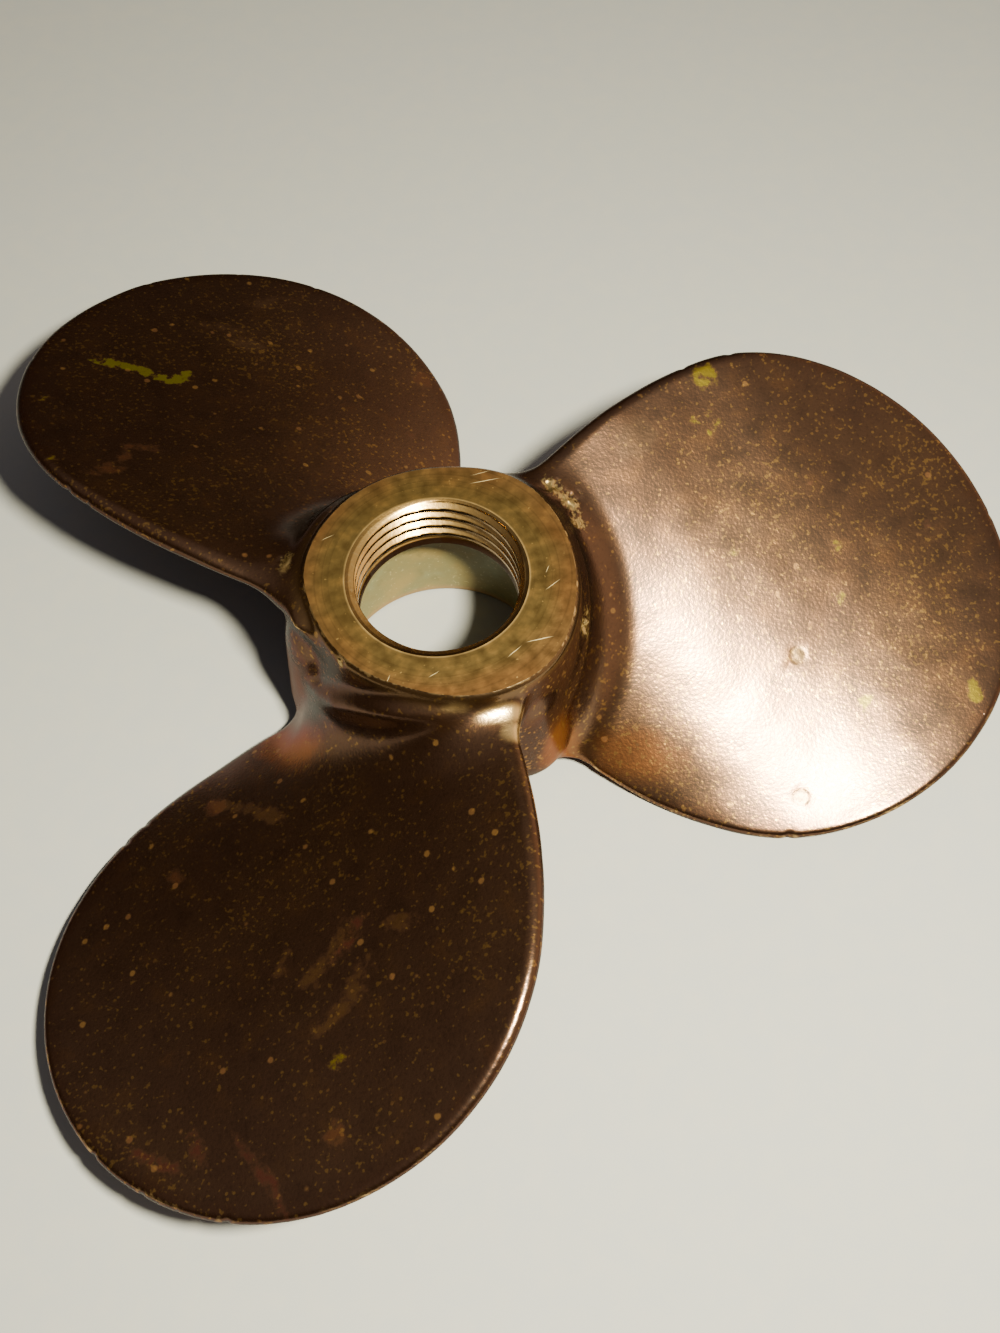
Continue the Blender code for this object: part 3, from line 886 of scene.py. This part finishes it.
def cast_bronze_patina(finish):
    """Sand-cast bronze, fettled smooth by hand, under a patina of many years in water and in the hand.

    It gives the eye a satin chocolate brown, nearly black where nothing bright is mirrored, and a soft pale
    glare where something is, under a thin clear film that hands have left on the upper sides. A dust of
    golden and pinkish specks lies all over it, the rims are thinner and redder, the ridges are rubbed to bare
    metal, and a few stains, chips and pits are single marks. Painted shade darkens its sides and underside,
    and a painted warm reflection lies in russet patches on the hub's side and at the roots.
    """
    # The casting's own sand grain is about 0.2 mm, and is drawn at 0.5 mm so that it shows. The powder is of
    # specks finer than 0.2 mm, drawn at 0.35 mm
    material, add, shader, place, clouds, mottles, sand, powder = new_finish(
        "cast_bronze_patina", (23, 4.0), (4.2, 5.0), (0.5, 2.0), (0.7, 1.0)
    )
    fray = add("TexNoise", {"Vector": place, "Scale": 1000 / 1.3, "Detail": 5.0, "Roughness": 0.6})
    notes = ("rim", "hollow", "ridge", "upper", "shoulder", "warm_reflection", "chips", "rubbed")
    rim, hollow, ridge, upper, shoulder, warm_reflection, chips, rubbed, *stains = (
        add("Attribute", attribute_name=name).outputs["Fac"] for name in (*notes, *(row[0] for row in STAINS))
    )
    patchy_rim, worn_ridge = (add("Math", (worn, mottles), operation="MULTIPLY") for worn in (rim, ridge))
    base = tinted(add, finish.patina, (
        (clouds, 0.38, 0.66, 0.30, finish.thin_patina),
        (mottles, 0.52, 0.72, 0.20, "#6e4a22"),
        (mottles, 0.46, 0.32, 0.15, "#2a140a"),
        (sand, 0.50, 0.30, 0.25, "#2a140a"),
        (patchy_rim, 0.05, 0.60, 0.50, finish.rim_tint),
        (hollow, 0.0, 1.0, 0.25, "#2a1a10"),
        # Painted shade on the sides and underside
        (upper, 0.9, 0.0, 0.70, finish.painted_side_shade),
        (shoulder, 0.0, 1.0, 0.85, finish.faced_outer),
    ))
    soft_warm_reflection = add("Math", (mottles, 5.0, warm_reflection), operation="MULTIPLY_ADD")
    shifted = add("VectorMath", (fray.outputs["Color"], (0.5 * MM,) * 3, place), operation="MULTIPLY_ADD")
    dust, dust_tone = specks(add, shifted, 1.1, 0.62, 0.70)
    flecks, fleck_tone = specks(add, shifted, 3.3, 1.25, 0.66)
    powder = add("Math", (clouds, 0.35, powder), operation="MULTIPLY_ADD")
    pink_dust = add("Math", (dust, dust_tone), operation="MULTIPLY")
    pink_flecks = add("Math", (flecks, fleck_tone), operation="MULTIPLY")
    base = tinted(add, base, (
        # Painted warm reflection, as russet patches
        (soft_warm_reflection, 4.0, 0.5, 0.7, finish.warm_reflection),
        (powder, 0.79, 0.92, 0.60, finish.specks),
        (dust, 0.0, 1.0, 0.60, finish.specks),
        (pink_dust, 0.3, 1.0, 0.55, "#6e4634"),
        (flecks, 0.0, 1.0, 0.35, finish.specks),
        (pink_flecks, 0.3, 0.8, 0.60, "#5e3c2c"),
    ))
    dull = add("Math", (flecks, 0.25), operation="MULTIPLY")
    for outside, (_, stain, opacity, softness, _) in zip(stains, STAINS):
        frayed = add("Math", (fray, FRAY, outside), operation="MULTIPLY_ADD")
        start, full = (FRAY + softness) / 2, (FRAY - softness) / 2
        amount = add("MapRange", (frayed, start, full, 0.0, opacity), interpolation_type="SMOOTHSTEP")
        amount = add("Math", (amount, upper), operation="MULTIPLY")
        base = tinted(add, base, ((amount, 0.0, 1.0, 1.0, stain),))
        dull = add("Math", (amount, 0.4, dull), operation="MULTIPLY_ADD")
    rough_chips = add("Math", (sand, 2.4, chips), operation="MULTIPLY_ADD")
    soft_rubbed = add("Math", (mottles, 1.5, rubbed), operation="MULTIPLY_ADD")
    base = tinted(add, base, (
        (rough_chips, 1.1, 0.5, 0.9, "#a58d5c"),
        (worn_ridge, 0.22, 0.62, 0.80, finish.rubbed_bronze),
        (soft_rubbed, 0.9, -0.4, 0.85, finish.rubbed_bronze),
    ))
    # The sides and underside are also less metallic and rougher
    facing_sideways = add("Math", (0.8, upper), operation="SUBTRACT")
    dull = add("Math", (dull, facing_sideways), operation="MAXIMUM")
    metal = add("MapRange", {"Value": dull, "To Min": 0.96, "To Max": 0.45})
    satin = add("MapRange", (mottles, 0.3, 0.7, 0.20, 0.25))
    satin = add("Math", (dull, 0.22, satin), operation="MULTIPLY_ADD")
    satin = add("Math", (worn_ridge, -0.15, satin), operation="MULTIPLY_ADD")
    handled = add("MapRange", (upper, 0.3, 1.0, 0.08, 0.52))
    skin = add("Bump", {"Height": sand, "Distance": 0.034 * MM})
    lumps = add("Bump", {"Height": mottles, "Distance": 0.02 * MM, "Normal": skin})
    wire(shader, {"Base Color": base, "Metallic": metal, "Roughness": satin, "Normal": lumps})
    wire(shader, {"Specular Tint": "#7a5a3c", "Coat Weight": handled, "Coat Roughness": 0.25})
    return material


def faced_bronze(finish, hub):
    """The hub's ends, faced on a lathe and long since tarnished.

    It gives the eye an olive ring round the bore, where damp has crept under nuts and washers, and a golden
    to reddish brown ring outside it, with faint turning lines, small pits and a few bright scratches.
    """
    material, add, shader, place, clouds, mottles, pits = new_finish(
        "faced_bronze", (8, 3.0), (2, 5.0), (0.55, 2.0)
    )
    mouth = hub.thread_radius + hub.mouth_chamfer
    radius = off_shaft(add, place)
    wavy = add("Math", (clouds, 5.0 * MM, radius), operation="MULTIPLY_ADD")
    # The tool's feed was about 0.1 mm a turn, and is drawn at 0.45 mm so that it shows
    feed = add("Math", (radius, 1000 / 0.45), operation="MULTIPLY")
    lines = add("TexNoise", {"W": feed, "Scale": 1.0, "Detail": 1.0}, noise_dimensions="1D")
    scratch = scratched(add, place, FACE_SCRATCHES, SCRATCH_DEPTH)
    base = tinted(add, finish.faced_outer, (
        (clouds, 0.40, 0.66, 0.5, "#5a3a1e"),
        (wavy, mouth + 8.6 * MM, mouth + 4.2 * MM, 0.75, finish.faced_inner),
        (mottles, 0.48, 0.76, 0.22, "#7c5c2e"),
        (mottles, 0.50, 0.28, 0.28, "#3e2c16"),
        (lines, 0.55, 0.75, 0.25, "#2f2212"),
        (pits, 0.70, 0.80, 0.45, "#b89a60"),
        (radius, mouth + 0.35 * MM, mouth, 0.3, finish.rubbed_bronze),
        (scratch, 1.0, 0.4, 0.85, "#efdcae"),
    ))
    satin = add("MapRange", (mottles, 0.3, 0.7, 0.34, 0.52))
    turned_lines = add("Bump", {"Height": lines, "Distance": 0.006 * MM})
    uneven = add("Bump", {"Height": mottles, "Distance": 0.06 * MM, "Normal": turned_lines})
    wire(shader, {"Base Color": base, "Metallic": 0.85, "Roughness": satin, "Normal": uneven})
    return material


def cut_thread_bronze(finish, hub):
    """Bronze tapped with a fine thread, which the shaft's own thread has kept clean.

    It gives the eye bright golden flanks with a fine grain, between dark lines of painted shade on the crests
    and in the roots, and painted shade on the land under the last turn, which is also duller.
    """
    # Tool marks of about 0.1 mm, drawn at 0.5 mm so that they show
    material, add, shader, place, smudges, tool_marks = new_finish("cut_thread_bronze", (3, 4.0), (0.5, 2.0))
    radius, height = off_shaft(add, place), add("SeparateXYZ", (place,)).outputs["Z"]
    crest, end = hub.thread_radius - hub.thread_depth, thread_end(hub)
    land = (end + 0.6 * MM, end - 0.3 * MM)
    base = tinted(add, finish.thread, (
        (smudges, 0.50, 0.75, 0.50, "#8a6436"),
        (tool_marks, 0.55, 0.72, 0.35, "#f0d9a4"),
        # Painted shade on the crests and in the roots
        (radius, crest + 0.12 * MM, crest + 0.03 * MM, 0.80, "#4a2f18"),
        (radius, hub.thread_radius - 0.2 * MM, hub.thread_radius, 0.60, "#3a2412"),
        # Painted shade on the land, which faces sideways under the last turn
        (height, *land, 0.95, "#3d2110"),
    ))
    satin = add("MapRange", (height, *land, 0.21, 0.55))
    grained = add("Bump", {"Height": tool_marks, "Distance": 0.015 * MM})
    wire(shader, {"Base Color": base, "Metallic": 1.0, "Roughness": satin, "Normal": grained})
    return material


def recess_bronze_verdigris(finish):
    """The bored recess, where water stood between hub and shaft: bronze under a dry film of verdigris.

    It gives the eye a matt greyish green, a little yellower in clouds, with painted shade at its upper end,
    under the land, and a painted pale brown reflection of the floor at its lower rim.
    """
    material, add, shader, place, clouds, mottles, crumbs = new_finish(
        "recess_bronze_verdigris", (7, 4.0), (1.8, 4.0), (0.6, 2.0)
    )
    height = add("SeparateXYZ", (place,)).outputs["Z"]
    base = tinted(add, finish.recess, (
        (clouds, 0.42, 0.64, 0.80, "#807045"),
        (clouds, 0.44, 0.30, 0.70, "#6f7357"),
        (mottles, 0.55, 0.72, 0.45, "#5d5a3c"),
        (crumbs, 0.62, 0.72, 0.30, "#b9ad84"),
        # Painted shade at the upper end, under the land and thread
        (height, 18 * MM, 22 * MM, 0.70, "#4a3320"),
        # Painted pale brown reflection of the floor at the lower rim
        (height, 1.6 * MM, 0.2 * MM, 0.55, "#8a6848"),
    ))
    dry = add("MapRange", (clouds, 0.3, 0.7, 0.50, 0.68))
    film = add("Bump", {"Height": mottles, "Distance": 0.06 * MM})
    wire(shader, {"Base Color": base, "Metallic": 0.25, "Roughness": dry, "Normal": film})
    return material


def floor_paper(stage):
    """Pale matt backdrop paper, rolled out flat: a soft even white with hardly any tooth."""
    # Its fibres are finer than a render can show, and are drawn as clouds of 4 mm
    material, add, shader, _, fibres = new_finish("floor_paper", (4, 4.0))
    base = tinted(add, stage.floor_colour, ((fibres, 0.35, 0.7, 0.10, "#9d978c"),))
    tooth = add("Bump", {"Height": fibres, "Distance": 0.03 * MM, "Strength": 0.6})
    wire(shader, {"Base Color": base, "Roughness": 0.9, "Normal": tooth})
    return material


def zone_of_faces(mesh, hub):
    """For each face, the way that it was made."""
    centres, normals = read(mesh.polygons, "center", 3), read(mesh.polygons, "normal", 3)
    radius, height = np.hypot(centres[:, 0], centres[:, 1]), centres[:, 2]
    land, slack = thread_end(hub) - hub.bore_land, 0.02 * MM
    level = (np.abs(normals[:, 2]) > 0.99) & (radius < FACING_RADIUS)
    in_recess = (height > slack) & (height < land + slack)
    in_thread = (height > land + slack) & (height < hub.length - slack)
    zone = np.full(len(centres), CAST, np.int32)
    zone[level & ((height > hub.length - slack) | (np.abs(height) < slack))] = FACED
    zone[(radius < hub.recess_radius + slack) & in_recess] = RECESSED
    zone[(radius < hub.thread_radius + hub.mouth_chamfer) & in_thread] = THREADED
    return zone


def finish_zones(obj, hub, finish):
    """Gives each face the finish of the way it was made, with sharp edges round the faced ends."""
    mesh = obj.data
    mesh.materials.clear()
    for made in (
        cast_bronze_patina(finish), faced_bronze(finish, hub), cut_thread_bronze(finish, hub),
        recess_bronze_verdigris(finish),
    ):
        mesh.materials.append(made)
    zone = zone_of_faces(mesh, hub)
    mesh.polygons.foreach_set("material_index", zone)
    mesh.shade_smooth()
    mesh.set_sharp_from_angle(angle=SHARP_ANGLE)
    faced = np.repeat(zone == FACED, read(mesh.polygons, "loop_total", kind=np.int32))
    edge_of = read(mesh.loops, "edge_index", kind=np.int32)
    faced_sides = np.bincount(edge_of, faced, minlength=len(mesh.edges))
    sharp = read(mesh.edges, "use_edge_sharp", kind=bool)
    mesh.edges.foreach_set("use_edge_sharp", sharp | (faced_sides == 1))


class PROPELLER_OT_casting(bpy.types.Operator):
    """Cast the propeller in one piece, bore and thread its hub, and age its bronze"""

    bl_idname = "propeller.casting"
    bl_label = "Cast propeller"

    def execute(self, context):
        hub, blade = context.scene.propeller_hub, context.scene.propeller_blades
        casting = cast_blank(hub, blade)
        dress_casting(casting, hub, blade)
        machine_bore(casting, hub)
        note_wear_and_painted_light(casting, hub, blade)
        finish_zones(casting, hub, context.scene.propeller_finish)
        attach(casting, "root")
        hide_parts("propeller_casting")
        return {"FINISHED"}


def look_at(place, target, roll=0.0):
    """The turn that aims an object's -Z axis from place at target."""
    aim = (Vector(target) - Vector(place)).to_track_quat("-Z", "Y").to_matrix().to_4x4()
    return Matrix.Translation(place) @ aim @ Matrix.Rotation(roll, 4, "Z")


def soft_room(stage):
    """Soft light from overhead, with a warm dusk towards the horizon that is brighter on the right."""
    world = bpy.data.worlds.new("soft_room")
    world.use_nodes = True
    add = partial(node, world.node_tree)
    towards = add("SeparateXYZ", (add("TexCoord").outputs["Generated"],))
    glow = tinted(add, "#33261f", (
        (towards.outputs["X"], 0.25, 0.95, 1.0, "#ffe0b8"),
        (towards.outputs["Z"], 0.35, 1.0, 0.85, "#8a8681"),
    ))
    wire(world.node_tree.nodes["Background"], {"Color": glow, "Strength": stage.room_strength})
    return world


class PROPELLER_OT_stage(bpy.types.Operator):
    """Lay the pale floor, light it softly and set the camera"""

    bl_idname = "propeller.stage"
    bl_label = "Set the stage"

    def execute(self, context):
        scene, stage = context.scene, context.scene.propeller_stage
        half = FLOOR_HALF_WIDTH
        corners = [(-half, -half, 0), (half, -half, 0), (half, half, 0), (-half, half, 0)]
        mesh = bpy.data.meshes.new("floor")
        mesh.from_pydata(corners, [], [(0, 1, 2, 3)])
        mesh.materials.append(floor_paper(stage))
        floor = in_scene("floor", mesh, Matrix.Translation((0.0, 0.0, CAD_BOX[0].z)))

        light = bpy.data.lights.new("key", "AREA")
        light.shape = "DISK"
        light.energy, light.size, light.color = stage.key_power, stage.key_size, stage.key_colour[:3]
        in_scene("key", light, look_at(stage.key_place, KEY_AIM))
        scene.world = soft_room(stage)

        lens = bpy.data.cameras.new("camera")
        lens.lens = stage.lens
        lens.clip_start, lens.clip_end = CLIP
        scene.camera = in_scene("camera", lens, look_at(stage.eye, stage.target, stage.roll))
        return {"FINISHED"}


class PROPELLER_PT_panel(bpy.types.Panel):
    """Sizes, colours and steps of the propeller"""

    bl_label = "Propeller"
    bl_idname = "PROPELLER_PT_panel"
    bl_space_type = "VIEW_3D"
    bl_region_type = "UI"
    bl_category = "Propeller"

    def draw(self, context):
        for title, _, pointer in GROUPS:
            box = self.layout.box()
            box.label(text=title)
            settings = getattr(context.scene, pointer)
            for name in settings.bl_rna.properties.keys():
                if name not in ("rna_type", "name"):
                    box.prop(settings, name)
        for operator in OPERATORS:
            self.layout.operator(operator.bl_idname)


GROUPS = (
    ("Hub", HubSizes, "propeller_hub"),
    ("Blades", BladeSizes, "propeller_blades"),
    ("Finish", FinishColours, "propeller_finish"),
    ("Stage", StageSettings, "propeller_stage"),
)
OPERATORS = (PROPELLER_OT_casting, PROPELLER_OT_stage)


def register():
    for _, group, pointer in GROUPS:
        bpy.utils.register_class(group)
        setattr(bpy.types.Scene, pointer, PointerProperty(type=group))
    for operator in OPERATORS:
        bpy.utils.register_class(operator)
    bpy.utils.register_class(PROPELLER_PT_panel)


def unregister():
    bpy.utils.unregister_class(PROPELLER_PT_panel)
    for operator in reversed(OPERATORS):
        bpy.utils.unregister_class(operator)
    for _, group, pointer in reversed(GROUPS):
        delattr(bpy.types.Scene, pointer)
        bpy.utils.unregister_class(group)


def main():
    register()
    bpy.ops.propeller.casting()
    bpy.ops.propeller.stage()


if __name__ == "__main__":
    main()
